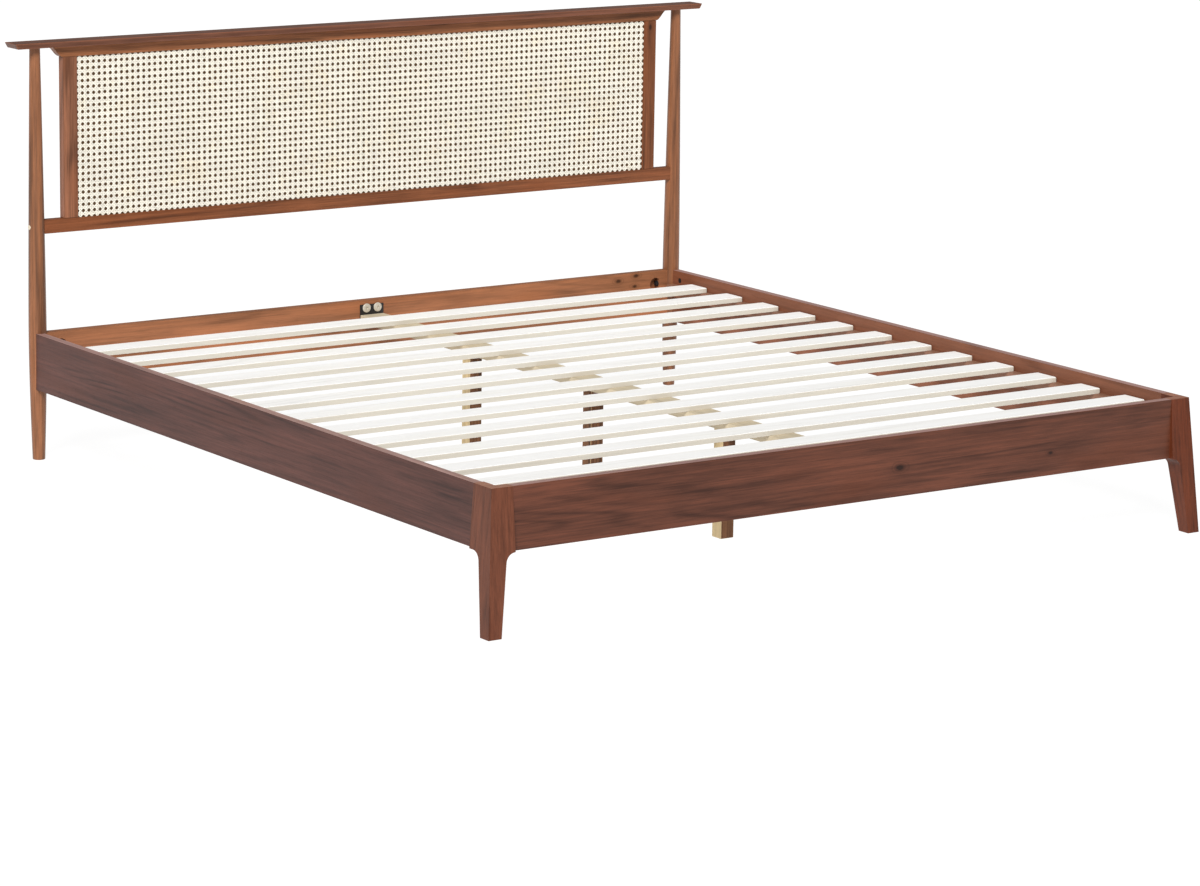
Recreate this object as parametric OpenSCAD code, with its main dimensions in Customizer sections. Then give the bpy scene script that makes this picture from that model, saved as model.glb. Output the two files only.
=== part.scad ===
// Wooden platform bed frame with a cane headboard.
// Millimetres. +Z is up, +X is to the right seen from the foot, +Y points to the head.
// The origin is on the floor, under the middle of the whole frame.

/* [Overall] */
// Outer width across the side rails
frame_w = 2000; // [1500:5:2200]
// Outer face of the foot rail to the inner face of the head rail
frame_l = 2110; // [1900:5:2300]
// Floor to the top of the rails
rail_top = 328; // [280:1:400]
// Floor to the top of the crown board
crown_top = 1067; // [900:1:1300]

/* [Rails] */
// Height of the side, foot and head rails
rail_h = 144; // [100:1:170]
// Thickness of the side and foot rails
rail_t = 22; // [18:1:30]
// Thickness of the head rail and the headboard framing
head_t = 24; // [20:1:28]
// Half width of the crescent bolt pocket in the head rail
pocket_r = 18; // [12:0.5:22]

/* [Foot legs] */
// Leg block width along the foot rail
leg_block_x = 56; // [46:1:70]
// Leg block width along the side rail
leg_block_y = 70; // [60:1:90]
// Thickness of the leg block's two arms
leg_arm = 26; // [24:1:34]
// Outward lean of the foot sideways
leg_splay_x = 23; // [0:1:30]
// Outward lean of the foot to the front
leg_splay_y = 30; // [0:1:36]
// Side of the square foot
leg_foot = 34; // [28:1:42]
// Leg width just below the rails
leg_waist = 34; // [28:1:42]
// Radius of the curve under the rails
leg_curve_r = 24; // [10:1:28]

/* [Headboard] */
// Largest diameter of the turned posts
post_d = 46; // [42:1:54]
// Post diameter at the floor
post_foot_d = 32; // [26:1:40]
// Post diameter under the crown board
post_top_d = 27; // [20:1:34]
// Outer face of the side rail to the post's axis
post_inset = 14; // [11:0.5:18]
// Crown board's overhang past each side rail
crown_over = 55; // [20:1:90]
// Depth of the crown board
crown_w = 60; // [50:1:90]
// Thickness of the crown board
crown_t = 14; // [10:1:24]
// Height of the panel's upper rail
upper_rail_h = 27; // [20:1:40]
// Floor to the top of the crosspiece under the panel
cross_top = 616; // [520:1:700]
// Height of the crosspiece
cross_h = 35; // [28:1:50]
// Outer face of the side rail to the outer edge of a panel stile
stile_inset = 87; // [80:1:250]
// Width of a panel stile
stile_w = 40; // [30:1:60]
// Thickness of the cane sheet
cane_t = 2.5; // [2:0.5:4]
// Thickness of the backing board
backing_t = 6; // [4:0.5:8]

/* [Slats and centre support] */
// Thickness of a slat
slat_t = 13; // [10:1:16]
// Width of a slat
slat_w = 74; // [50:1:100]
// Slat tops below the rail tops
slat_drop = 25; // [15:1:45]
// Face of the head or foot rail to the middle of the slat next to it
slat_inset = 142; // [90:1:180]
// Gap between a slat's end and the side rail
slat_gap = 3; // [1:0.5:10]
// Height of the ledger strips
ledger_h = 30; // [20:1:40]
// Thickness of the ledger strips
ledger_t = 22; // [15:1:30]
// Width of the centre beam
beam_w = 72; // [50:1:100]
// Thickness of the centre beam
beam_t = 21; // [18:1:40]
// Side of a square centre leg
mid_leg = 37; // [30:1:60]
// Distance between neighbouring centre legs
mid_leg_pitch = 550; // [400:5:600]

/* [Hardware] */
// Thickness of the steel beam brackets
bracket_t = 3; // [2:0.5:5]
// Bracket height above the beam
bracket_rise = 27; // [24:1:34]
// Diameter of the bracket bolts' washer heads
bracket_head_d = 24; // [16:1:26]
// Distance between the two bolts of a bracket
bracket_bolt_gap = 34; // [28:1:40]
// Diameter of the furniture bolts' shanks
bolt_d = 8; // [6:1:10]
// Diameter of the barrel nuts in the side rails
nut_d = 14; // [12:1:16]
// Diameter of the caps over the crosspiece bolts
cap_d = 12; // [10:1:16]

/* [Hidden] */
$fn = 48;
slat_count = 12;
slack = 0.2;
through = 1;
half_w = frame_w / 2;
crown_l = frame_w + 2 * crown_over;
stile_out = half_w - stile_inset;
rail_bottom = rail_top - rail_h;
rail_in = half_w - rail_t;
post_x = half_w - post_inset;
depth = leg_splay_y + frame_l + head_t / 2 + crown_w / 2;
y_front = -depth / 2 + leg_splay_y;
y_foot_in = y_front + rail_t;
y_head_in = y_front + frame_l;
y_post = y_head_in + head_t / 2;
y_mid = (y_foot_in + y_head_in) / 2;
slat_pitch = (y_head_in - y_foot_in - 2 * slat_inset) / (slat_count - 1);
rail_end_y = y_post - head_t / 2;
rail_end_x = post_x - head_t / 2;
crown_bottom = crown_top - crown_t;
crown_undercut = 8;
panel_top = crown_bottom - upper_rail_h;
panel_bottom = cross_top;
stile_in = stile_out - stile_w;
groove = 5;
cane_setback = 2;
cane_y = y_head_in + cane_setback;
backing_y = cane_y + cane_t;
slat_top = rail_top - slat_drop;
slat_bottom = slat_top - slat_t;
slat_half = rail_in - slat_gap;
slat_round = 3;
beam_bottom = slat_bottom - beam_t;
bracket_top = slat_bottom + bracket_rise;
bracket_foot = 40;
bracket_grip = 14;
bolt_room = 19;
bolt_head_t = 4;
bracket_bolt_z = bracket_top - bracket_head_d / 2 + 3;
pocket_x = rail_end_x - 48;
pocket_z = rail_top - 37;
pocket_depth = 18;
pocket_flat = 12;
head_bolt_y = y_head_in + 9;
washer_d = 16;
washer_t = 2;
hex_d = 13;
hex_t = 5;
post_thread = 24;
nut_y = rail_end_y - 43;
nut_z = [rail_top - 25, rail_bottom + 25];
nut_len = 16;
nut_slot = 2;
stud_grip = 18;
cross_mid = cross_top - cross_h / 2;
cross_thread = 38;
cap_seat = 5;
cap_stand = 1;
post_bulge_z = rail_bottom + 156;
curve_steps = 10;
leg_curve_steps = 8;
post_steps = 9;
end_curve_l = 35;

// Sub-part to show

// A box given by its two opposite corners.
module span(a, b) {
    translate(a) cube(b - a);
}

// Children shown once on each side, the second one mirrored in X.
module both_sides() {
    children();
    mirror([1, 0, 0]) children();
}

// Post radius at a height: an ellipse-like swell about the rails, slimmer to both ends.
function post_r(z) = z < post_bulge_z
    ? post_foot_d / 2 + (post_d - post_foot_d) / 2 * sin(90 * z / post_bulge_z)
    : post_top_d / 2 + (post_d - post_top_d) / 2
        * (1 - pow((z - post_bulge_z) / (crown_bottom - post_bulge_z), 1.25));

// Turned post on its own axis, from the floor to the crown board.
module turned_post() {
    low = [for (i = [0 : post_steps]) i * post_bulge_z / post_steps];
    high = [for (i = [1 : post_steps])
        post_bulge_z + i * (crown_bottom - post_bulge_z) / post_steps];
    zs = concat(low, high);
    rotate_extrude($fn = 96)
        polygon(concat([[0, 0]], [for (z = zs) [post_r(z), z]], [[0, crown_bottom]]));
}

// Hole along X for the bolt that holds the crosspiece, with a seat for its cap.
module crosspiece_bolt_hole() translate([rail_end_x - cross_thread - slack, y_post, cross_mid])
    rotate([0, 90, 0]) {
        cylinder(d = bolt_d + 2 * slack, h = cross_thread + post_d);
        translate([0, 0, post_x + post_r(cross_mid) - cap_seat - rail_end_x + cross_thread + slack])
            cylinder(d = cap_d, h = post_d);
    }

// Hole along X for the bolt from the head rail's crescent pocket into the post.
module head_bolt_hole() translate([pocket_x + pocket_flat - through, head_bolt_y, pocket_z])
    rotate([0, 90, 0]) cylinder(d = bolt_d + 2 * slack,
        h = rail_end_x - pocket_x - pocket_flat + 2 * through + post_thread);

// Hole along Y for the stud that joins a side rail to its post.
module side_bolt_hole(z) translate([half_w - rail_t / 2, nut_y, z]) rotate([-90, 0, 0])
    cylinder(d = bolt_d + 2 * slack, h = rail_end_y - nut_y + stud_grip + through);

// Right post, housed for the side rail, the head rail and the crosspiece.
module post_body() difference() {
    translate([post_x, y_post, 0]) turned_post();
    span([rail_in, y_post - post_d, rail_bottom], [half_w, rail_end_y, rail_top]);
    span([post_x - post_d, y_head_in, rail_bottom], [rail_end_x, y_head_in + head_t, rail_top]);
    span([post_x - post_d, y_head_in, cross_top - cross_h],
        [rail_end_x, y_head_in + head_t, cross_top]);
    crosspiece_bolt_hole();
    head_bolt_hole();
    for (z = nut_z) side_bolt_hole(z);
}

module right_post() color([0.61, 0.40, 0.26]) post_body();
module left_post() color([0.61, 0.40, 0.26]) mirror([1, 0, 0]) post_body();

// Crown board, undercut at both ends.
module crown_board() color([0.56, 0.35, 0.24])
    translate([0, y_post + crown_w / 2, 0]) rotate([90, 0, 0]) linear_extrude(crown_w)
        polygon([[-crown_l / 2, crown_top], [-crown_l / 2 + crown_undercut, crown_bottom],
            [crown_l / 2 - crown_undercut, crown_bottom], [crown_l / 2, crown_top]]);

// Height of the curved end of the upper rail at a share t of its run.
function end_curve(t) = panel_top + upper_rail_h * (1 - cos(180 * t)) / 2;

// Upper rail of the panel, its ends swept up into the crown board.
module upper_panel_rail() color([0.57, 0.36, 0.24])
    difference() {
        translate([0, y_head_in + head_t, 0]) rotate([90, 0, 0]) linear_extrude(head_t)
            polygon(concat(
                [for (i = [0 : curve_steps]) [stile_out + i * end_curve_l / curve_steps,
                    end_curve(i / curve_steps)]],
                [for (i = [curve_steps : -1 : 0]) [-stile_out - i * end_curve_l / curve_steps,
                    end_curve(i / curve_steps)]]));
        backing_body();
    }

module stile_body() difference() {
    span([stile_in, y_head_in, panel_bottom], [stile_out, y_head_in + head_t, panel_top]);
    backing_body();
}

module right_stile() color([0.57, 0.36, 0.24]) stile_body();
module left_stile() color([0.57, 0.36, 0.24]) mirror([1, 0, 0]) stile_body();

// Crosspiece under the panel, from post to post.
module crosspiece() color([0.57, 0.36, 0.24]) difference() {
    span([-rail_end_x, y_head_in, cross_top - cross_h], [rail_end_x, y_head_in + head_t, cross_top]);
    backing_body();
    both_sides() crosspiece_bolt_hole();
}

// Backing board, held in grooves on all four sides.
module backing_body() span([-stile_in - groove, backing_y, panel_bottom - groove],
    [stile_in + groove, backing_y + backing_t, panel_top + groove]);

module backing_board() color([0.29, 0.21, 0.15]) backing_body();

module cane_sheet() color([0.91, 0.85, 0.76])
    span([-stile_in, cane_y, panel_bottom], [stile_in, backing_y, panel_top]);

// Crescent pocket: a round hollow cut off straight on the post's side.
module crescent_pocket() intersection() {
    translate([pocket_x, y_head_in - through, pocket_z]) rotate([-90, 0, 0])
        cylinder(r = pocket_r, h = pocket_depth + through);
    span([pocket_x - pocket_r - through, y_head_in - through, pocket_z - pocket_r - through],
        [pocket_x + pocket_flat, y_head_in + pocket_depth + through, pocket_z + pocket_r + through]);
}

// Head rail at mattress height, with a bolt pocket near each end.
module head_rail() color([0.66, 0.44, 0.30]) difference() {
    span([-rail_end_x, y_head_in, rail_bottom], [rail_end_x, y_head_in + head_t, rail_top]);
    both_sides() {
        crescent_pocket();
        head_bolt_hole();
        bracket_bolt_hole(y_head_in - through);
    }
}

// Hole for one bracket bolt, starting at a given Y.
module bracket_bolt_hole(y) translate([bracket_bolt_gap / 2, y, bracket_bolt_z])
    rotate([-90, 0, 0]) cylinder(d = bolt_d + 2 * slack, h = bolt_room);

module side_rail_body() difference() {
    span([rail_in, y_front + leg_block_y, rail_bottom], [half_w, rail_end_y, rail_top]);
    for (z = nut_z) {
        side_bolt_hole(z);
        translate([rail_in - through, nut_y, z]) rotate([0, 90, 0])
            cylinder(d = nut_d, h = nut_len + through);
    }
}

module right_side_rail() color([0.40, 0.27, 0.24]) side_rail_body();
module left_side_rail() color([0.40, 0.27, 0.24]) mirror([1, 0, 0]) side_rail_body();

module ledger_body() span([rail_in - ledger_t, y_front + leg_block_y, slat_bottom - ledger_h],
    [rail_in, y_post - post_d / 2 - through, slat_bottom]);

module right_ledger() color([0.62, 0.47, 0.39]) ledger_body();
module left_ledger() color([0.62, 0.47, 0.39]) mirror([1, 0, 0]) ledger_body();

module foot_rail() color([0.45, 0.30, 0.24]) difference() {
    span([-half_w + leg_block_x, y_front, rail_bottom], [half_w - leg_block_x, y_foot_in, rail_top]);
    both_sides() bracket_bolt_hole(y_foot_in + through - bolt_room);
}

// Leg outline: u runs inward from the rail's face and is negative outside it.
module leg_outline(block, splay) {
    toe = leg_foot - splay;
    slope = (leg_waist - toe) / rail_bottom;
    run = sqrt(1 + slope * slope);
    r = min(leg_curve_r, (block - leg_waist) / (run - slope));
    zc = rail_bottom - r;
    uc = toe + slope * zc + r * run;
    sweep = 90 - atan(slope);
    polygon(concat([[-splay, 0], [0, rail_top], [block, rail_top], [block, rail_bottom]],
        [for (i = [0 : leg_curve_steps]) let (a = 90 + i * sweep / leg_curve_steps)
            [uc + r * cos(a), zc + r * sin(a)]],
        [[toe, 0]]));
}

// Left foot leg: splayed both ways, with an L-shaped block behind the rails.
module leg_body() difference() {
    translate([-half_w, y_front, 0]) intersection() {
        translate([0, leg_block_y + through, 0]) rotate([90, 0, 0])
            linear_extrude(leg_block_y + leg_splay_y + 2 * through)
                leg_outline(leg_block_x, leg_splay_x);
        translate([-leg_splay_x - through, 0, 0]) rotate([90, 0, 90])
            linear_extrude(leg_block_x + leg_splay_x + 2 * through)
                leg_outline(leg_block_y, leg_splay_y);
    }
    span([-half_w + leg_arm, y_front + leg_arm, rail_bottom + leg_arm],
        [-half_w + leg_block_x + through, y_front + leg_block_y + through, rail_top + through]);
}

module left_foot_leg() color([0.42, 0.25, 0.18]) leg_body();
module right_foot_leg() color([0.42, 0.25, 0.18]) mirror([1, 0, 0]) leg_body();

module centre_beam() color([0.90, 0.84, 0.72])
    span([-beam_w / 2, y_foot_in + bracket_t, beam_bottom],
        [beam_w / 2, y_head_in - bracket_t, slat_bottom]);

// Steel angle: one leg on the rail's face, the other under the beam.
module bracket_body() difference() {
    union() {
        span([-beam_w / 2, y_head_in - bracket_t, beam_bottom - bracket_t],
            [beam_w / 2, y_head_in, bracket_top]);
        span([-beam_w / 2, y_head_in - bracket_foot, beam_bottom - bracket_t],
            [beam_w / 2, y_head_in, beam_bottom]);
    }
    both_sides() bracket_bolt_hole(y_head_in - bracket_t - through);
}

module head_bracket() color([0.10, 0.10, 0.10]) bracket_body();
module foot_bracket() color([0.10, 0.10, 0.10])
    translate([0, y_foot_in + y_head_in, 0]) mirror([0, 1, 0]) bracket_body();

// Bolt with a broad washer head, its shank along +Y from the face at y = 0.
module washer_bolt() rotate([-90, 0, 0]) {
    difference() {
        translate([0, 0, -bolt_head_t])
            cylinder(d1 = bracket_head_d - 6, d2 = bracket_head_d, h = bolt_head_t);
        translate([0, 0, -bolt_head_t - through]) cylinder(d = 7, h = bolt_head_t, $fn = 6);
    }
    cylinder(d = bolt_d, h = bracket_t + bracket_grip);
}

// The pair of bolts that holds the head rail's bracket.
module bolt_pair() both_sides()
    translate([bracket_bolt_gap / 2, y_head_in - bracket_t, bracket_bolt_z]) washer_bolt();

module bracket_bolts() color([0.84, 0.82, 0.77]) {
    bolt_pair();
    translate([0, y_foot_in + y_head_in, 0]) mirror([0, 1, 0]) bolt_pair();
}

module mid_leg_at(y) translate([-mid_leg / 2, y - mid_leg / 2, 0])
    cube([mid_leg, mid_leg, beam_bottom]);

module centre_leg_head() color([0.70, 0.62, 0.49]) mid_leg_at(y_mid + mid_leg_pitch);
module centre_leg_middle() color([0.70, 0.62, 0.49]) mid_leg_at(y_mid);
module centre_leg_foot() color([0.70, 0.62, 0.49]) mid_leg_at(y_mid - mid_leg_pitch);

// One slat, counted from the head, its long edges eased on top.
module slat(n) color([0.97, 0.95, 0.90])
    translate([-slat_half, y_mid + ((slat_count + 1) / 2 - n) * slat_pitch - slat_w / 2, slat_bottom])
        rotate([90, 0, 90]) linear_extrude(2 * slat_half) polygon([[0, 0], [slat_w, 0],
            [slat_w, slat_t - slat_round], [slat_w - slat_round, slat_t], [slat_round, slat_t],
            [0, slat_t - slat_round]]);

module slat_01() slat(1);
module slat_02() slat(2);
module slat_03() slat(3);
module slat_04() slat(4);
module slat_05() slat(5);
module slat_06() slat(6);
module slat_07() slat(7);
module slat_08() slat(8);
module slat_09() slat(9);
module slat_10() slat(10);
module slat_11() slat(11);
module slat_12() slat(12);

// Bolts from the crescent pockets into the posts, each with a washer.
module head_rail_bolts() color([0.08, 0.08, 0.08]) both_sides()
    translate([pocket_x + pocket_flat, head_bolt_y, pocket_z]) rotate([0, 90, 0]) {
        translate([0, 0, -washer_t - hex_t]) cylinder(d = hex_d, h = hex_t, $fn = 6);
        translate([0, 0, -washer_t]) cylinder(d = washer_d, h = washer_t);
        cylinder(d = bolt_d, h = rail_end_x - pocket_x - pocket_flat + post_thread);
    }

// Studs that join the side rails to the posts.
module side_rail_bolts() color([0.45, 0.45, 0.46]) both_sides() for (z = nut_z)
    translate([half_w - rail_t / 2, nut_y + nut_d / 2, z]) rotate([-90, 0, 0])
        cylinder(d = bolt_d, h = rail_end_y - nut_y - nut_d / 2 + stud_grip);

// Barrel nuts let into the side rails' inner faces, slotted for a screwdriver.
module barrel_nuts() color([0.08, 0.08, 0.08]) both_sides() for (z = nut_z) difference() {
    translate([rail_in, nut_y, z]) rotate([0, 90, 0]) cylinder(d = nut_d, h = nut_len);
    span([rail_in - through, nut_y - nut_slot / 2, z - nut_d],
        [rail_in + nut_slot, nut_y + nut_slot / 2, z + nut_d]);
}

// Bolts through the posts into the crosspiece.
module crosspiece_bolts() color([0.45, 0.45, 0.46]) both_sides()
    translate([rail_end_x - cross_thread, y_post, cross_mid]) rotate([0, 90, 0])
        cylinder(d = bolt_d, h = post_x + post_r(cross_mid) - cap_seat - rail_end_x + cross_thread);

// Pale caps on the outside of the posts, over the crosspiece bolts.
module post_bolt_caps() color([0.85, 0.80, 0.72]) both_sides()
    translate([post_x + post_r(cross_mid) - cap_seat, y_post, cross_mid]) rotate([0, 90, 0])
        cylinder(d = cap_d, h = cap_seat + cap_stand);

left_post();
right_post();
crown_board();
upper_panel_rail();
left_stile();
right_stile();
crosspiece();
backing_board();
cane_sheet();
head_rail();
left_side_rail();
right_side_rail();
left_ledger();
right_ledger();
foot_rail();
left_foot_leg();
right_foot_leg();
centre_beam();
head_bracket();
foot_bracket();
bracket_bolts();
centre_leg_head();
centre_leg_middle();
centre_leg_foot();
slat_01();
slat_02();
slat_03();
slat_04();
slat_05();
slat_06();
slat_07();
slat_08();
slat_09();
slat_10();
slat_11();
slat_12();
head_rail_bolts();
side_rail_bolts();
barrel_nuts();
crosspiece_bolts();
post_bolt_caps();
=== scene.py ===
"""Wooden bed frame with a cane headboard: its looks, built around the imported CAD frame."""
import logging
import math
from contextlib import contextmanager
from dataclasses import dataclass, replace
from enum import Enum
from typing import Callable, Iterator, Union

import bpy
from mathutils import Matrix, Vector


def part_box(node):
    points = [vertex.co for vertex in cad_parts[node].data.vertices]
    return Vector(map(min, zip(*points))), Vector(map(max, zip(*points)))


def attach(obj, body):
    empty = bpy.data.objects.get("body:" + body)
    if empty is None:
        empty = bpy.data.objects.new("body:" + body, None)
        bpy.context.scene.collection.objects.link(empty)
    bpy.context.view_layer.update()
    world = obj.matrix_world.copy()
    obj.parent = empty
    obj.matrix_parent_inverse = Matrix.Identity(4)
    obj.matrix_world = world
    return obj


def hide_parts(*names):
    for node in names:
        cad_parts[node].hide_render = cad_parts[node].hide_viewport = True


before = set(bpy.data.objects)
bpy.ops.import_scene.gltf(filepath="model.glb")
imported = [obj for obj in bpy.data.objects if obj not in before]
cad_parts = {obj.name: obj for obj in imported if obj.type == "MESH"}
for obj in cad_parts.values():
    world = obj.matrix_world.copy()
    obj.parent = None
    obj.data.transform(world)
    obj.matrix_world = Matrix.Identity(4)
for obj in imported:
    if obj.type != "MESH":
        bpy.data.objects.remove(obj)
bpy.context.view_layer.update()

LOG = logging.getLogger("bed_frame")
MM = 0.001
MERGE = 0.01 * MM  # points closer than this are one point
FLAT_TURN = math.radians(0.4)  # faces that turn less than this lie in one plane
CRISP_TURN = math.radians(35)  # edges that turn more than this stay crisp
STRAND_TURN = math.radians(50)  # the same for a strand's corners
ALONG = 0.9  # a direction with more of an axis than this runs along it
ACROSS = 0.1  # a direction with less of an axis than this runs across it
Colour = tuple[float, float, float]
Piece = bpy.types.Object
Term = Union["Wire", float]


# --- bench: tools for shaping a mesh


class Element(Enum):
    """Kind of mesh element that is picked in edit mode."""

    VERT = "VERT"
    EDGE = "EDGE"
    FACE = "FACE"


def alone(piece: Piece) -> None:
    """Selects one object only and makes it the active one.

    Args:
        piece: The object.
    """
    bpy.ops.object.select_all(action="DESELECT")
    piece.select_set(True)
    bpy.context.view_layer.objects.active = piece


def place_of(mesh: bpy.types.Mesh, item: object, kind: Element) -> tuple[Vector, Vector]:
    """Where an element is and which way it points.

    Args:
        mesh: The mesh that holds the element.
        item: A vertex, an edge or a face.
        kind: Which of the three it is.

    Returns:
        Its middle, and its normal, or an edge's direction.
    """
    if kind is Element.VERT:
        return item.co, item.normal
    if kind is Element.FACE:
        return item.center, item.normal
    first, second = (mesh.vertices[index].co for index in item.vertices)
    return (first + second) / 2, (second - first).normalized()


@contextmanager
def picked(piece: Piece, kind: Element,
           test: Callable[[Vector, Vector], bool]) -> Iterator[None]:
    """Edit mode with only the elements that pass a test selected.

    Args:
        piece: The object to edit.
        kind: What is picked.
        test: Takes an element's middle and its direction.
    """
    alone(piece)
    bpy.ops.object.mode_set(mode="EDIT")
    bpy.ops.mesh.select_mode(type=kind.value)
    bpy.ops.mesh.select_all(action="DESELECT")
    bpy.ops.object.mode_set(mode="OBJECT")
    mesh = piece.data
    items = {Element.VERT: mesh.vertices, Element.EDGE: mesh.edges, Element.FACE: mesh.polygons}
    for item in items[kind]:
        item.select = bool(test(*place_of(mesh, item, kind)))
    bpy.ops.object.mode_set(mode="EDIT")
    yield
    bpy.ops.object.mode_set(mode="OBJECT")


def everything(_place: Vector, _way: Vector) -> bool:
    """Test that picks every element."""
    return True


def block(name: str, low: Vector, high: Vector) -> Piece:
    """A block between two corners, its place in its mesh.

    Args:
        name: Name of the new piece.
        low: Lowest corner.
        high: Highest corner.

    Returns:
        The new object.
    """
    bpy.ops.object.select_all(action="DESELECT")
    middle, size = (low + high) / 2, high - low
    bpy.ops.mesh.primitive_cube_add(size=1, location=middle, scale=size)
    piece = bpy.context.object
    piece.name = piece.data.name = name
    bpy.ops.object.transform_apply(location=True, rotation=True, scale=True)
    return piece


def rod(name: str, start: Vector, end: Vector, radius: float, sides: int) -> Piece:
    """A round or many-sided rod between two points, its place in its mesh.

    Args:
        name: Name of the new piece.
        start: Middle of one end.
        end: Middle of the other end.
        radius: Radius of the rod.
        sides: Number of its sides.

    Returns:
        The new object.
    """
    bpy.ops.object.select_all(action="DESELECT")
    turn = (end - start).to_track_quat("Z", "Y").to_euler()
    bpy.ops.mesh.primitive_cylinder_add(vertices=sides, radius=radius, depth=(end - start).length,
                                        location=(start + end) / 2, rotation=turn)
    piece = bpy.context.object
    piece.name = piece.data.name = name
    bpy.ops.object.transform_apply(location=True, rotation=True, scale=True)
    return piece


def add_modifier(piece: Piece, kind: str, **settings: object) -> None:
    """Adds a modifier to a piece and applies it.

    Args:
        piece: The piece to change.
        kind: Blender's name for the modifier.
        **settings: Values of the modifier's properties.
    """
    alone(piece)
    bpy.ops.object.modifier_add(type=kind)
    modifier = piece.modifiers[-1]
    for key, value in settings.items():
        setattr(modifier, key, value)
    bpy.ops.object.modifier_apply(modifier=modifier.name)


def cut(piece: Piece, cutter: Piece) -> None:
    """Takes one shape out of a piece and removes the cutter."""
    add_modifier(piece, "BOOLEAN", operation="DIFFERENCE", object=cutter, solver="EXACT")
    bpy.data.objects.remove(cutter, do_unlink=True)


def copy_of(piece: Piece, name: str, shift: Vector) -> Piece:
    """A copy of a piece with its own mesh, moved by a vector.

    Args:
        piece: The piece to copy.
        name: Name of the copy.
        shift: How far the copy's mesh is moved.

    Returns:
        The new object.
    """
    twin = bpy.data.objects.new(name, piece.data.copy())
    bpy.context.collection.objects.link(twin)
    twin.data.name = name
    with picked(twin, Element.VERT, everything):
        bpy.ops.transform.translate(value=shift)
    return twin


def joined(name: str, pieces: list[Piece]) -> Piece:
    """Several meshes made one piece under a new name.

    Args:
        name: The new name.
        pieces: The objects that are joined.

    Returns:
        The joined piece.
    """
    alone(pieces[0])
    for piece in pieces:
        piece.select_set(True)
    bpy.ops.object.join()
    pieces[0].name = pieces[0].data.name = name
    return pieces[0]


def add_slots(piece: Piece, count: int) -> None:
    """Adds empty material slots."""
    for _slot in range(count):
        piece.data.materials.append(None)


def rounded_shading(piece: Piece) -> None:
    """Smooth shading on soft turns, with flat faces kept flat.

    Args:
        piece: The piece to shade.
    """
    alone(piece)
    bpy.ops.object.shade_smooth_by_angle(angle=CRISP_TURN)
    add_modifier(piece, "WEIGHTED_NORMAL", keep_sharp=True, weight=80)


def board_from(node: str, name: str, ease: float, segments: int = 3,
               corner: float = 20) -> Piece:
    """A copy of a CAD node with its sharp edges eased.

    Args:
        node: The CAD node.
        name: Name of the new piece.
        ease: Width of the eased edge.
        segments: Facets across the eased edge.
        corner: Edges that turn more than this many degrees are eased.

    Returns:
        The new object, its eased edges on the second material slot.
    """
    piece = bpy.data.objects.new(name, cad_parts[node].data.copy())
    bpy.context.collection.objects.link(piece)
    piece.data.name = name
    piece.data.materials.clear()
    add_slots(piece, 2)
    alone(piece)
    bpy.ops.mesh.customdata_custom_splitnormals_clear()
    with picked(piece, Element.VERT, everything):
        bpy.ops.mesh.remove_doubles(threshold=MERGE)
        bpy.ops.mesh.faces_shade_flat()
        bpy.ops.mesh.mark_sharp(clear=True)
        bpy.ops.mesh.dissolve_limited(angle_limit=FLAT_TURN)
    for face in piece.data.polygons:
        face.material_index = 0
    add_modifier(piece, "BEVEL", width=ease, segments=segments, limit_method="ANGLE",
                 angle_limit=math.radians(corner), material=1, miter_outer="MITER_ARC")
    rounded_shading(piece)
    return piece


# --- shader: sockets in arithmetic


class Wire:
    """A shader socket that can be used in Python arithmetic."""

    def __init__(self, graph: "Graph", socket: bpy.types.NodeSocket) -> None:
        """Wraps one output socket of a graph's node."""
        self.graph = graph
        self.socket = socket

    def math(self, operation: str, *others: Term) -> "Wire":
        """A Math node on this value and others."""
        return self.graph.math(operation, self, *others)

    def __add__(self, other: Term) -> "Wire":
        """This value plus another."""
        return self.math("ADD", other)

    __radd__ = __add__

    def __sub__(self, other: Term) -> "Wire":
        """This value less another."""
        return self.math("SUBTRACT", other)

    def __rsub__(self, other: float) -> "Wire":
        """A number less this value."""
        return self.graph.math("SUBTRACT", other, self)

    def __mul__(self, other: Term) -> "Wire":
        """This value times another."""
        return self.math("MULTIPLY", other)

    __rmul__ = __mul__

    def __truediv__(self, other: Term) -> "Wire":
        """This value divided by another."""
        return self.math("DIVIDE", other)

    def __pow__(self, other: float) -> "Wire":
        """This value to a power."""
        return self.math("POWER", other)

    def wave(self) -> "Wire":
        """Sine of this value."""
        return self.math("SINE")

    def band(self, low: float, high: float) -> "Wire":
        """Smooth step from 0 at low to 1 at high."""
        return self.graph.node("ShaderNodeMapRange", {"interpolation_type": "SMOOTHSTEP"},
                               {"Value": self, "From Min": low, "From Max": high})


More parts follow.
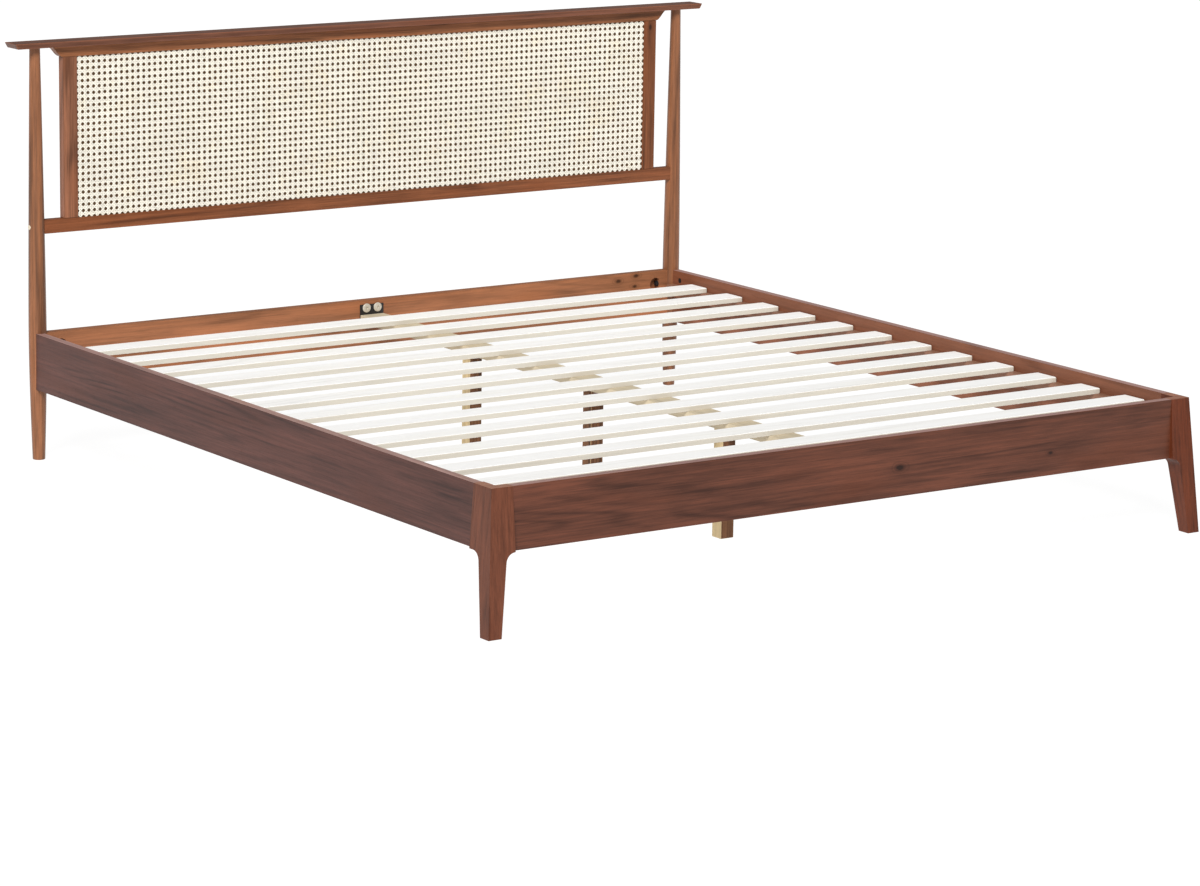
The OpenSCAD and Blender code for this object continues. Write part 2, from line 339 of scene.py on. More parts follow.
class Graph:
    """A material's node tree, with one call for any node."""

    def __init__(self, name: str) -> None:
        """Starts a material with an empty tree.

        Args:
            name: Name of the material.
        """
        self.material = bpy.data.materials.new(name)
        self.material.use_nodes = True
        self.tree = self.material.node_tree
        self.tree.nodes.clear()

    def node(self, kind: str, settings: dict[str, object], inputs: dict[Union[int, str], object],
             output: Union[int, str] = 0) -> Wire:
        """Adds a node.

        Args:
            kind: Blender's node type.
            settings: Properties of the node, or "stops" for a ramp, set before its sockets.
            inputs: Values or wires by socket name or number.
            output: The output socket to return.

        Returns:
            The output socket as a wire.
        """
        made = self.tree.nodes.new(kind)
        for key, value in settings.items():
            if key == "stops":
                self._set_stops(made, value)
            else:
                setattr(made, key, value)
        for key, value in inputs.items():
            if isinstance(value, Wire):
                self.tree.links.new(value.socket, made.inputs[key])
            else:
                made.inputs[key].default_value = value
        return Wire(self, made.outputs[output])

    @staticmethod
    def _set_stops(ramp: bpy.types.Node, stops: list[tuple[float, Colour]]) -> None:
        """Gives a colour ramp its stops.

        Args:
            ramp: The ramp's node.
            stops: Places and colours, in order.
        """
        elements = ramp.color_ramp.elements
        while len(elements) < len(stops):
            elements.new(1.0)
        for element, (place, colour) in zip(elements, stops):
            element.position = place
            element.color = (*colour, 1)

    def math(self, operation: str, *values: Term) -> Wire:
        """A Math node on up to three values."""
        return self.node("ShaderNodeMath", {"operation": operation}, dict(enumerate(values)))

    def place(self) -> Wire:
        """Object coordinates, in metres from the object's origin."""
        return self.node("ShaderNodeTexCoord", {}, {}, "Object")

    def split(self, vector: Wire) -> list[Wire]:
        """The three parts of a vector."""
        made = self.node("ShaderNodeSeparateXYZ", {}, {0: vector}).socket.node
        return [Wire(self, output) for output in made.outputs]

    def vector(self, *parts: Term) -> Wire:
        """A vector from its three parts."""
        return self.node("ShaderNodeCombineXYZ", {}, dict(enumerate(parts)))

    def noise(self, where: Wire, scale: float, detail: float = 2, rough: float = 0.5) -> Wire:
        """Smooth noise between 0 and 1."""
        return self.node("ShaderNodeTexNoise", {},
                         {"Vector": where, "Scale": scale, "Detail": detail, "Roughness": rough})

    def mix(self, share: Term, first: object, second: object) -> Wire:
        """A colour between two others.

        Args:
            share: How much of the second colour.
            first: Colour or wire at 0.
            second: Colour or wire at 1.

        Returns:
            The mixed colour.
        """
        ends = [(*end, 1) if isinstance(end, tuple) else end for end in (first, second)]
        return self.node("ShaderNodeMix", {"data_type": "RGBA"},
                         {0: share, 6: ends[0], 7: ends[1]}, 2)

    def ramp(self, value: Wire, stops: list[tuple[float, Colour]]) -> Wire:
        """A colour looked up along a row of stops."""
        return self.node("ShaderNodeValToRGB", {"stops": stops}, {0: value})

    def finish(self, colour: Wire, roughness: Term, height: Wire, depth: float,
               **constants: object) -> bpy.types.Material:
        """Ends the tree in one Principled shader.

        Args:
            colour: Base colour.
            roughness: Roughness, varying or not.
            height: Relief between 0 and 1.
            depth: Height of the relief in metres.
            **constants: Other sockets, with underscores for spaces.

        Returns:
            The finished material.
        """
        bump = self.node("ShaderNodeBump", {}, {"Strength": 1.0, "Distance": depth, "Height": height})
        inputs = {"Base Color": colour, "Roughness": roughness, "Normal": bump}
        inputs.update({key.replace("_", " "): value for key, value in constants.items()})
        shader = self.node("ShaderNodeBsdfPrincipled", {}, inputs)
        out = self.tree.nodes.new("ShaderNodeOutputMaterial")
        self.tree.links.new(shader.socket, out.inputs[0])
        return self.material


def srgb(red: int, green: int, blue: int) -> Colour:
    """A display colour, 0 to 255, as linear light."""
    return tuple(((part / 255 + 0.055) / 1.055) ** 2.4 if part > 10 else part / 255 / 12.92
                 for part in (red, green, blue))


def scaled(colour: Colour, factor: float) -> Colour:
    """A colour made lighter or darker."""
    return tuple(min(1.0, part * factor) for part in colour)


class Grain(Enum):
    """Axis that a board's fibres follow, as the order of the coordinates."""

    X = (0, 1, 2)
    Y = (1, 0, 2)
    Z = (2, 0, 1)


@dataclass(frozen=True)
class Layer:
    """Noise stretched along the fibres.

    Attributes:
        run: Waves in a metre along the fibres.
        cross: Waves in a metre across them.
        detail: Number of finer octaves.
        rough: Weight of the finer octaves.
    """

    run: float
    cross: float
    detail: float = 3
    rough: float = 0.6

    def on(self, graph: Graph, along: Wire, across: Wire, through: Wire) -> Wire:
        """The noise on a board, from its three coordinates."""
        place = graph.vector(along * self.run, across * self.cross, through * self.cross)
        return graph.noise(place, 1.0, self.detail, self.rough)


FIELD = Layer(0.30, 5.5, 2, 0.40)
ZONE = Layer(1.8, 22.0)
DRIFT = Layer(2.6, 15.0)
SMOKE = Layer(1.2, 20.0)
FIBRE = Layer(12.0, 380.0, 4, 0.7)
BAND = Layer(2.2, 120.0)
PORE = Layer(34.0, 1200.0, 2, 0.5)
GLOW = Layer(2.8, 12.0, 2, 0.5)


@dataclass(frozen=True)
class Knot:
    """A knot in a board.

    Attributes:
        centre: Its middle, in metres.
        radius: Radius of its dark heart.
    """

    centre: tuple[float, float, float]
    radius: float


@dataclass(frozen=True)
class Timber:
    """A stained and lacquered wood.

    Attributes:
        name: Name of the finish.
        tone: The wood's middle colour, in linear light.
        grain: Axis along the fibres.
        contrast: Spread of the colours around the tone.
        figure: Strength of the arched growth rings.
        rings: Number of rings across the figure's height.
        streak: Strength of the fine fibres.
        pores: Strength of the dark open pores.
        blotch: Strength of the broad colour drift.
        gloss: Roughness of the lacquer.
        coat: Weight of the clear coat.
        sheen: Specular level of the stained wood.
        knots: The knots that show.
        shift: Moves the pattern, so that two boards differ.
        warmth: How far the light parts turn to orange.
    """

    name: str
    tone: Colour
    grain: Grain = Grain.X
    contrast: float = 1.0
    figure: float = 0.4
    rings: float = 26.0
    streak: float = 0.5
    pores: float = 0.45
    blotch: float = 0.5
    gloss: float = 0.40
    coat: float = 0.06
    sheen: float = 0.16
    knots: tuple[Knot, ...] = ()
    shift: float = 0.0
    warmth: float = 1.0

    def painted_light_copy(self, factor: float) -> "Timber":
        """A copy of the same wood, lighter for a factor above 1 as painted highlight and darker below
        1 as painted shade, for eased edges and turned faces.
        """
        return replace(self, name=self.name + "_edge", tone=scaled(self.tone, factor),
                       contrast=self.contrast * 0.6, figure=self.figure * 0.5)

    def build(self) -> bpy.types.Material:
        """Makes the material.

        Returns:
            The material of this wood.
        """
        graph = Graph(self.name)
        where = graph.place()
        axes = graph.split(where)
        along, across, through = (axes[index] for index in self.grain.value)
        along = along + self.shift
        field, zone, drift, smoke, fibre, band, pore, glow = (
            layer.on(graph, along, across, through)
            for layer in (FIELD, ZONE, DRIFT, SMOKE, FIBRE, BAND, PORE, GLOW))
        ring = (field * (2 * math.pi * self.rings)).wave()
        line = ((ring * 0.5 + 0.5) ** 3.0) * zone.band(0.38, 0.66)
        dusk = smoke.band(0.52, 0.74)
        value = (0.52 + (0.22 - line) * self.figure + (fibre - 0.5) * self.streak
                 + (drift - 0.5) * self.blotch + (band - 0.5) * (1.1 * self.streak)
                 - dusk * (0.4 * self.figure))
        dark = scaled(self.tone, 1 - 0.55 * self.contrast)
        light = scaled(self.tone, 1 + 0.55 * self.contrast)
        light = (light[0] * self.warmth, light[1], light[2] / self.warmth)
        colour = graph.ramp(value, [(0.15, dark), (0.5, self.tone), (0.85, light)])
        amber = (min(1.0, self.tone[0] * 1.22), self.tone[1] * 0.98, self.tone[2] * 0.72)
        colour = graph.mix(glow.band(0.50, 0.75) * (0.55 * self.contrast), colour, amber)
        open_pore = pore.band(0.58, 0.70)
        colour = graph.mix(open_pore * (0.6 * self.pores), colour, scaled(self.tone, 0.35))
        height = fibre * 0.5 - open_pore * (0.5 * self.pores) + ring * 0.08
        for knot in self.knots:
            colour = self._with_knot(graph, colour, where, knot)
        rough = self.gloss + (fibre - 0.5) * 0.16 + open_pore * 0.12
        return graph.finish(colour, rough, height, 0.16 * MM, Coat_Weight=self.coat,
                            Coat_Roughness=0.36, Specular_IOR_Level=self.sheen)

    def _with_knot(self, graph: Graph, colour: Wire, where: Wire, knot: Knot) -> Wire:
        """Adds one knot with its dark heart and the swirl round it.

        Args:
            graph: The material's graph.
            colour: The wood's colour so far.
            where: Object coordinates.
            knot: The knot.

        Returns:
            The colour with the knot in it.
        """
        away = graph.node("ShaderNodeVectorMath", {"operation": "SUBTRACT"},
                          {0: where, 1: knot.centre})
        parts = graph.split(away)
        along, across, through = (parts[index] for index in self.grain.value)
        wobble = graph.noise(where, 0.35 / knot.radius, 2)
        span = graph.node("ShaderNodeVectorMath", {"operation": "LENGTH"},
                          {0: graph.vector(along * 0.55, across, through)}, "Value")
        reach = span / knot.radius + (wobble - 0.5) * 0.9
        halo = (1 - reach.band(1.0, 3.2)) * ((reach * 7.0).wave() * 0.25 + 0.45)
        heart = 1 - reach.band(0.55, 1.15)
        colour = graph.mix(halo, colour, scaled(self.tone, 0.55))
        return graph.mix(heart * 0.9, colour, scaled(self.tone, 0.16))


@dataclass(frozen=True)
class Strand:
    """Natural cane, peeled and split into flat strands.

    Attributes:
        name: Name of the finish.
        tone: Colour of a fresh strand.
        turn: Angle of the strands from level, in degrees.
    """

    name: str
    tone: Colour
    turn: float = 0.0

    def build(self) -> bpy.types.Material:
        """Makes the material.

        Returns:
            The material.
        """
        graph = Graph(self.name)
        where = graph.place()
        turned = graph.node("ShaderNodeMapping", {"vector_type": "POINT"},
                            {"Vector": where, "Rotation": (0, math.radians(self.turn), 0)})
        along, depth, across = graph.split(turned)
        patch = graph.noise(where, 13.0, 4, 0.65).band(0.50, 0.72)
        streak = graph.noise(graph.vector(along * 25.0, depth * 10.0, across * 1400.0), 1.0, 3, 0.6)
        single = graph.noise(graph.vector(along * 1.5, depth * 10.0, across * 210.0), 1.0, 1, 0.4)
        speck = graph.noise(where, 260.0, 2, 0.5).band(0.66, 0.80)
        warm = (self.tone[0] * 0.98, self.tone[1] * 0.86, self.tone[2] * 0.62)
        colour = graph.mix(patch * 0.35, self.tone, warm)
        colour = graph.mix(single.band(0.40, 0.70) * 0.6, colour, scaled(self.tone, 0.74))
        colour = graph.mix((streak - 0.4) * 0.5, colour, scaled(self.tone, 0.62))
        colour = graph.mix(speck * 0.5, colour, scaled(warm, 0.45))
        return graph.finish(colour, 0.40 + (streak - 0.5) * 0.2, streak, 0.10 * MM,
                            Coat_Weight=0.12, Coat_Roughness=0.3)


@dataclass(frozen=True)
class Metal:
    """Coated or plated steel.

    Attributes:
        name: Name of the finish.
        tone: Its colour.
        metallic: 1 for bare plating and 0 for a powder coat.
        gloss: Its roughness.
        grit: Strength of the coat's fine orange peel.
    """

    name: str
    tone: Colour
    metallic: float
    gloss: float
    grit: float = 0.5

    def build(self) -> bpy.types.Material:
        """Makes the material.

        Returns:
            The material.
        """
        graph = Graph(self.name)
        where = graph.place()
        peel = graph.noise(where, 900.0, 2, 0.5)
        stain = graph.noise(where, 60.0, 3, 0.6)
        scratch = graph.noise(where, 350.0, 4, 0.7).band(0.62, 0.75)
        colour = graph.mix(stain.band(0.4, 0.8) * 0.5, self.tone, scaled(self.tone, 0.7))
        colour = graph.mix(scratch * 0.3, colour, scaled(self.tone, 1.9))
        rough = self.gloss + (stain - 0.5) * 0.25
        return graph.finish(colour, rough, peel, 0.05 * MM * self.grit, Metallic=self.metallic)


@dataclass(frozen=True)
class Plastic:
    """Moulded plastic with a fine spark texture.

    Attributes:
        name: Name of the finish.
        tone: Its colour.
    """

    name: str
    tone: Colour

    def build(self) -> bpy.types.Material:
        """Makes the material.

        Returns:
            The material.
        """
        graph = Graph(self.name)
        where = graph.place()
        spark = graph.noise(where, 2200.0, 2, 0.5)
        cloud = graph.noise(where, 120.0, 2, 0.5)
        colour = graph.mix(cloud * 0.4, self.tone, scaled(self.tone, 0.86))
        return graph.finish(colour, 0.38 + spark * 0.15, spark, 0.03 * MM)


Finish = Union[Timber, Strand, Metal, Plastic]


class Paintbox:
    """Builds each finish once and hands out its material."""

    def __init__(self) -> None:
        """Starts with no material made."""
        self.made: dict[str, bpy.types.Material] = {}

    def material(self, finish: Finish) -> bpy.types.Material:
        """The material of a finish, made the first time it is asked for.

        Args:
            finish: The finish.

        Returns:
            Its material.
        """
        if finish.name not in self.made:
            self.made[finish.name] = finish.build()
        return self.made[finish.name]

    def dress(self, piece: Piece, *finishes: Finish) -> None:
        """Gives a piece its materials.

        Args:
            piece: The piece.
            *finishes: One finish for each material slot, the last one for the rest.
        """
        wanted = [self.material(finish) for finish in finishes]
        slots = piece.data.materials
        while len(slots) < len(wanted):
            slots.append(None)
        for index in range(len(slots)):
            slots[index] = wanted[min(index, len(wanted) - 1)]


PAINT = Paintbox()


def place_piece(piece: Piece, slot: str, *nodes: str) -> None:
    """Hangs a piece on the frame's one body, in place of the CAD nodes it stands for.

    Args:
        piece: The new piece.
        slot: The record's material slot; not used.
        *nodes: The CAD nodes it replaces.
    """
    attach(piece, "root")
    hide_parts(*nodes)
    LOG.info("%s: %d faces", piece.name, len(piece.data.polygons))


def ease_node(node: str, slot: str, ease: float, *finishes: Finish, segments: int = 3,
              corner: float = 20) -> None:
    """Puts an eased and dressed copy in the place of a CAD node.

    Args:
        node: The CAD node.
        slot: The record's material slot, passed on to place_piece.
        ease: Width of the eased edge.
        *finishes: One finish for each material slot.
        segments: Facets across the eased edge.
        corner: Edges that turn more than this many degrees are eased.
    """
    piece = board_from(node, f"{node}_eased", ease, segments, corner)
    PAINT.dress(piece, *finishes)
    place_piece(piece, slot, node)


# --- finishes of this bed

# Painted light and shade on the side rails: the outer faces take a darkened tone as painted shade, the
# inner faces and tops lighter copies as painted light.
SIDE_SHADED_WOOD = Timber("side_rail_wood", srgb(78, 47, 40), Grain.Y, figure=0.35, streak=0.9,
                   blotch=0.8, coat=0.08, shift=3.1)
SIDE_INNER_LIT_WOOD = Timber("side_rail_inner_lit_wood", srgb(124, 78, 57), Grain.Y, contrast=0.6,
                         figure=0.3, gloss=0.45, shift=7.7)
SIDE_TOP_LIT_WOOD = Timber("side_rail_top_lit_wood", srgb(159, 125, 118), Grain.Y, contrast=0.6,
                       figure=0.3, streak=0.6, shift=4.1)
# The foot rail's top takes the lighter top copy as painted light.
FOOT_TOP_LIT_WOOD = replace(SIDE_TOP_LIT_WOOD, name="foot_rail_top_lit_wood", grain=Grain.X)
FOOT_WOOD = Timber("foot_rail_wood", srgb(86, 50, 37), contrast=0.95, figure=0.24, rings=30.0,
                   streak=0.8, blotch=1.1, coat=0.08, shift=1.4, warmth=1.05,
                   knots=(Knot((0.12, -1.061, 0.252), 0.007), Knot((0.57, -1.061, 0.238), 0.004)))
HEAD_RAIL_WOOD = Timber("head_rail_wood", srgb(141, 92, 63), contrast=0.75, figure=0.25,
                        streak=0.7, blotch=1.1, gloss=0.45, shift=5.3, warmth=1.05,
                        knots=(Knot((0.86, 1.049, 0.320), 0.005), Knot((0.855, 1.049, 0.291), 0.0045),
                               Knot((0.80, 1.049, 0.310), 0.005)))
PANEL_WOOD = Timber("headboard_wood", srgb(133, 84, 54), contrast=0.95, figure=0.45, streak=1.0,
                    blotch=0.8, coat=0.08, shift=9.2)
STILE_WOOD = replace(PANEL_WOOD, name="stile_wood", tone=srgb(129, 84, 61), grain=Grain.Z,
                     shift=2.6, knots=(Knot((0.893, 1.049, 1.008), 0.0045),))
RIGHT_STILE_WOOD = replace(STILE_WOOD, name="right_stile_wood", tone=srgb(110, 64, 38))
CROSSPIECE_WOOD = replace(PANEL_WOOD, name="crosspiece_wood", tone=srgb(115, 68, 42))
CROWN_WOOD = Timber("crown_wood", srgb(99, 62, 46), contrast=0.95, figure=0.45, streak=1.0,
                    blotch=0.7, gloss=0.36, coat=0.08, shift=4.4)
POST_WOOD = Timber("post_wood", srgb(124, 79, 51), Grain.Z, contrast=0.95, figure=0.45, streak=1.0,
                   blotch=0.6, gloss=0.34, coat=0.35, shift=6.5)
LEG_WOOD = Timber("leg_wood", srgb(96, 54, 37), Grain.Z, contrast=0.8, figure=0.35, streak=0.9,
                  blotch=0.6, gloss=0.36, coat=0.08, shift=8.8,
                  knots=(Knot((-1.003, -1.071, 0.090), 0.0035),))
RIGHT_LEG_WOOD = replace(LEG_WOOD, name="right_leg_wood", tone=srgb(88, 42, 23))
# A lighter copy for the legs' tops, as painted light from above.
LEG_TOP_LIT_WOOD = Timber("leg_top_lit_wood", srgb(150, 104, 84), contrast=0.6, streak=0.6, shift=1.1)
BACKING_WOOD = Timber("backing_wood", srgb(84, 64, 44), contrast=0.5, figure=0.3, streak=0.4,
                      gloss=0.55, coat=0.0, shift=0.7)
LEDGER_WOOD = Timber("ledger_wood", srgb(132, 96, 78), Grain.Y, contrast=0.5, figure=0.3,
                     gloss=0.5, coat=0.05, shift=2.2)
SLAT_WOOD = Timber("slat_wood", srgb(251, 250, 247), contrast=0.14, figure=0.35, rings=30.0,
                   streak=0.6, pores=0.12, gloss=0.55, coat=0.0, shift=1.9)
# A darker copy for the slats' sides and ends, as painted shade.
SLAT_SHADED_SIDE = Timber("slat_side_shaded_wood", srgb(203, 197, 184), contrast=0.10, streak=0.7, pores=0.2,
                   gloss=0.6, coat=0.0, shift=4.9)
BEAM_WOOD = Timber("beam_wood", srgb(196, 182, 156), Grain.Y, contrast=0.25, figure=0.5, pores=0.3,
                   gloss=0.55, coat=0.0, shift=3.6)
CENTRE_LEG_WOOD = Timber("centre_leg_wood", srgb(196, 174, 134), Grain.Z, contrast=0.3, blotch=0.6,
                         gloss=0.55, coat=0.0, shift=5.9)
LAMINATED_WOOD = Timber("laminated_wood", srgb(102, 69, 47), Grain.Z, contrast=0.9, figure=0.6,
                        rings=40.0, streak=1.0, blotch=1.2, gloss=0.55, coat=0.0, shift=3.3)
CANE_LEVEL = Strand("cane_level", srgb(241, 236, 223), 0)
CANE_UPRIGHT = Strand("cane_upright", srgb(239, 233, 219), 90)
CANE_RISING = Strand("cane_rising", srgb(237, 230, 215), 44.5)
CANE_FALLING = Strand("cane_falling", srgb(241, 235, 221), -44.5)
BLACK_STEEL = Metal("black_steel", srgb(30, 29, 30), 0.0, 0.42, 1.0)
PALE_STEEL = Metal("pale_steel", srgb(214, 206, 190), 0.35, 0.36)
SOCKET_STEEL = Metal("socket_steel", srgb(92, 84, 74), 0.4, 0.5)
ZINC_STEEL = Metal("zinc_steel", srgb(170, 172, 176), 1.0, 0.32)
CAP_PLASTIC = Plastic("cap_plastic", srgb(214, 200, 176))


# --- sub-assemblies


@dataclass
class Headboard:
    """Posts, crown board and the framed cane panel.

    Attributes:
        foot_r: Post radius at the floor.
        belly_r: Post radius at its widest.
        top_r: Post radius under the crown board.
        belly_z: Height of the widest place.
        taper: Power of the upper taper.
        rings: Turned rings along a post.
        sides: Facets round a post.
        ease: Width of the boards' eased edges.
        crown_ease: Width of the crown board's eased edges.
        foot_ease: Width of the edge eased round a post's foot.
    """

    foot_r: float = 16 * MM
    belly_r: float = 23 * MM
    top_r: float = 13.5 * MM
    belly_z: float = 340 * MM
    taper: float = 1.25
    rings: int = 47
    sides: int = 72
    ease: float = 1.6 * MM
    crown_ease: float = 2.2 * MM
    foot_ease: float = 1.5 * MM

    def radius(self, height: float, top: float) -> float:
        """Post radius at a height.

        Args:
            height: Height above the floor.
            top: Height of the post's top.

        Returns:
            The radius there.
        """
        if height < self.belly_z:
            return self.foot_r + (self.belly_r - self.foot_r) * math.sin(
                math.pi / 2 * height / self.belly_z)
        share = (height - self.belly_z) / (top - self.belly_z)
        return self.top_r + (self.belly_r - self.top_r) * (1 - share ** self.taper)

    def post(self, side: str) -> None:
        """Turns one post and houses it for the rails.

        Args:
            side: "left" or "right".
        """
        low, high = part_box(f"{side}_post")
        axis_x = high.x - self.belly_r if side == "right" else low.x + self.belly_r
        axis_y = high.y - self.belly_r
        piece = rod(f"{side}_turned_post", Vector((axis_x, axis_y, 0)),
                    Vector((axis_x, axis_y, high.z)), self.belly_r, self.sides)
        with picked(piece, Element.EDGE, lambda _at, way: abs(way.z) > ALONG):
            bpy.ops.mesh.subdivide(number_cuts=self.rings)
        step = high.z / (self.rings + 1)
        for ring in range(self.rings + 2):
            level = ring * step
            factor = self.radius(level, high.z) / self.belly_r
            with picked(piece, Element.VERT, lambda at, _way: abs(at.z - level) < step / 4):
                bpy.ops.transform.resize(value=(factor, factor, 1),
                                         center_override=(axis_x, axis_y, level))
        with picked(piece, Element.EDGE, lambda at, way: at.z < step / 4 and abs(way.z) < ACROSS):
            bpy.ops.mesh.bevel(offset=self.foot_ease, segments=2, affect="EDGES")
        for node in (f"{side}_side_rail", "head_rail", "crosspiece"):
            cut(piece, block("housing", *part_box(node)))
        rounded_shading(piece)
        PAINT.dress(piece, POST_WOOD)
        place_piece(piece, "turned_post_wood", f"{side}_post")

    def boards(self) -> None:
        """Eases the crown board and the panel's framing."""
        # Lighter copy on the crown's eased edges: painted highlight.
        ease_node("crown_board", "crown_wood", self.crown_ease, CROWN_WOOD, CROWN_WOOD.painted_light_copy(1.5))
        for node, wood in (("upper_panel_rail", PANEL_WOOD), ("crosspiece", CROSSPIECE_WOOD),
                           ("left_stile", STILE_WOOD), ("right_stile", RIGHT_STILE_WOOD)):
            # Darker copy on the framing's eased edges: painted shade.
            ease_node(node, "headboard_wood", self.ease, wood, wood.painted_light_copy(0.8))
        PAINT.dress(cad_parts["backing_board"], BACKING_WOOD)

    def hardware(self) -> None:
        """Domes the caps on the posts and dresses the hidden bolts."""
        caps = board_from("post_bolt_caps", "post_bolt_caps_domed", 1.0 * MM)
        PAINT.dress(caps, CAP_PLASTIC)
        place_piece(caps, "cap_plastic", "post_bolt_caps")
        PAINT.dress(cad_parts["crosspiece_bolts"], ZINC_STEEL)

    def build(self) -> None:
        """Makes the whole headboard."""
        self.post("left")
        self.post("right")
        self.boards()
        self.hardware()


@dataclass
class CaneWeave:
    """Six-way cane webbing: pairs of level and upright strands, and one strand on each diagonal.

    Attributes:
        columns: Cells along the panel.
        rows: Cells up the panel.
        strand_w: Width of a strand.
        strand_t: Thickness of a strand.
        apart: Half the distance between the middles of a pair.
        rise: How far a paired strand moves forward or back.
        diagonal_rise: The same for a diagonal strand.
        unevenness: Largest stray of a point of a strand.
    """

    columns: int = 109
    rows: int = 26
    strand_w: float = 2.95 * MM
    strand_t: float = 0.7 * MM
    apart: float = 1.9 * MM
    rise: float = 0.36 * MM
    diagonal_rise: float = 0.72 * MM
    unevenness: float = 0.16 * MM

    def __post_init__(self) -> None:
        """Takes the panel's opening from the CAD sheet."""
        self.low, self.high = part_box("cane_sheet")
        self.cell_x = (self.high.x - self.low.x) / self.columns
        self.cell_z = (self.high.z - self.low.z) / self.rows
        self.mid_y = (self.low.y + self.high.y) / 2

    def length(self, start: tuple[float, float], run: Vector, kink: float,
               rises: tuple[float, float]) -> Piece:
        """One cell's length of strand, open at both ends.

        Args:
            start: Cell numbers of its first end, along and up the panel.
            run: From its first end to its last.
            kink: Share of the run where it changes from one side to the other.
            rises: How far its ends and its kink stand forward.

        Returns:
            The length of strand.
        """
        reach = run.length
        half = Vector((0, self.strand_t / 2, self.strand_w / 2))
        piece = block("strand", -half, Vector((reach, 0, 0)) + half)
        with picked(piece, Element.EDGE, lambda _at, way: abs(way.x) > ALONG):
            bpy.ops.mesh.subdivide(number_cuts=1)
        with picked(piece, Element.FACE, lambda _at, way: abs(way.x) > ALONG):
            bpy.ops.mesh.delete(type="FACE")
        with picked(piece, Element.VERT, lambda at, _way: at.y < 0):
            bpy.ops.transform.resize(value=(1, 1, 0.6), center_override=(0, 0, 0))
        middle = reach / 2
        with picked(piece, Element.VERT, lambda at, _way: abs(at.x - middle) < middle / 2):
            bpy.ops.transform.translate(value=(reach * kink - middle, rises[0] - rises[1], 0))
        piece.data.transform(Matrix.Rotation(-math.atan2(run.z, run.x), 4, "Y"))
        piece.data.transform(Matrix.Translation((self.low.x + start[0] * self.cell_x,
                                                 self.mid_y - rises[0],
                                                 self.low.z + start[1] * self.cell_z)))
        return piece

    def web(self, name: str, lengths: list[Piece], run: Vector, repeat: int,
            step: Vector, count: int, seed: int) -> Piece:
        """Repeats lengths of strand over the panel and trims them to its opening.

        Args:
            name: Name of the piece.
            lengths: One cell's strands.
            run: Vector from one cell to the next along a strand.
            repeat: Cells along a strand.
            step: Vector from one strand to the next.
            count: Number of strands side by side.
            seed: Seed of the strands' unevenness.

        Returns:
            The finished layer.
        """
        piece = joined(name, lengths)
        add_modifier(piece, "ARRAY", use_relative_offset=False, use_constant_offset=True,
                     constant_offset_displace=run, count=repeat, use_merge_vertices=True,
                     merge_threshold=0.05 * MM)
        add_modifier(piece, "ARRAY", use_relative_offset=False, use_constant_offset=True,
                     constant_offset_displace=step, count=count)
        with picked(piece, Element.VERT, everything):
            for corner, way in ((self.low, (-1, 0, 0)), (self.high, (1, 0, 0)),
                                (self.low, (0, 0, -1)), (self.high, (0, 0, 1))):
                bpy.ops.mesh.select_all(action="SELECT")
                bpy.ops.mesh.bisect(plane_co=corner, plane_no=way, clear_outer=True)
            bpy.ops.mesh.select_all(action="SELECT")
            bpy.ops.mesh.fill_holes(sides=8)
            bpy.ops.mesh.select_all(action="SELECT")
            bpy.ops.mesh.normals_make_consistent(inside=False)
            bpy.ops.transform.vertex_random(offset=self.unevenness, seed=seed)
        alone(piece)
        bpy.ops.object.shade_smooth_by_angle(angle=STRAND_TURN)
        return piece

    def pairs(self, level: bool) -> Piece:
        """The level or the upright pairs.

        Args:
            level: True for the level pairs.

        Returns:
            The finished layer.
        """
        side, up = self.apart / self.cell_x, self.apart / self.cell_z
        along, upward = Vector((self.cell_x, 0, 0)), Vector((0, 0, self.cell_z))
        if level:
            name, run, step, kink, seed = "cane_level_strands", along, upward, 2 * side, 11
            starts = (-0.5 - side, 0.5 + up), (-0.5 - side, 0.5 - up)
            repeat, count = self.columns, self.rows
        else:
            name, run, step, kink, seed = "cane_upright_strands", upward, along, 2 * up, 12
            starts = (0.5 - side, -0.5 - up), (0.5 + side, -0.5 - up)
            repeat, count = self.rows, self.columns
        lengths = [self.length(start, run, kink, (rise, -rise))
                   for start, rise in zip(starts, (self.rise, -self.rise))]
        return self.web(name, lengths, run, repeat + 2, step, count, seed)

    def diagonal(self, rising: bool) -> Piece:
        """The strands of one diagonal.

        Args:
            rising: True for those that rise to the right.

        Returns:
            The finished layer.
        """
        way = 1 if rising else -1
        run = Vector((way * self.cell_x, 0, self.cell_z))
        first = -0.5 - self.rows if rising else 1.5
        rises = (way * self.diagonal_rise, -way * self.diagonal_rise)
        lengths = [self.length((first, -1), run, 0.5, rises)]
        name = "cane_rising_strands" if rising else "cane_falling_strands"
        return self.web(name, lengths, run, self.rows + 2, Vector((self.cell_x, 0, 0)),
                        self.columns + self.rows, 13 if rising else 14)

    def build(self) -> None:
        """Weaves the four layers."""
        layers = ((self.pairs(True), CANE_LEVEL), (self.pairs(False), CANE_UPRIGHT),
                  (self.diagonal(True), CANE_RISING), (self.diagonal(False), CANE_FALLING))
        for piece, finish in layers:
            PAINT.dress(piece, finish)
            place_piece(piece, "cane", "cane_sheet")


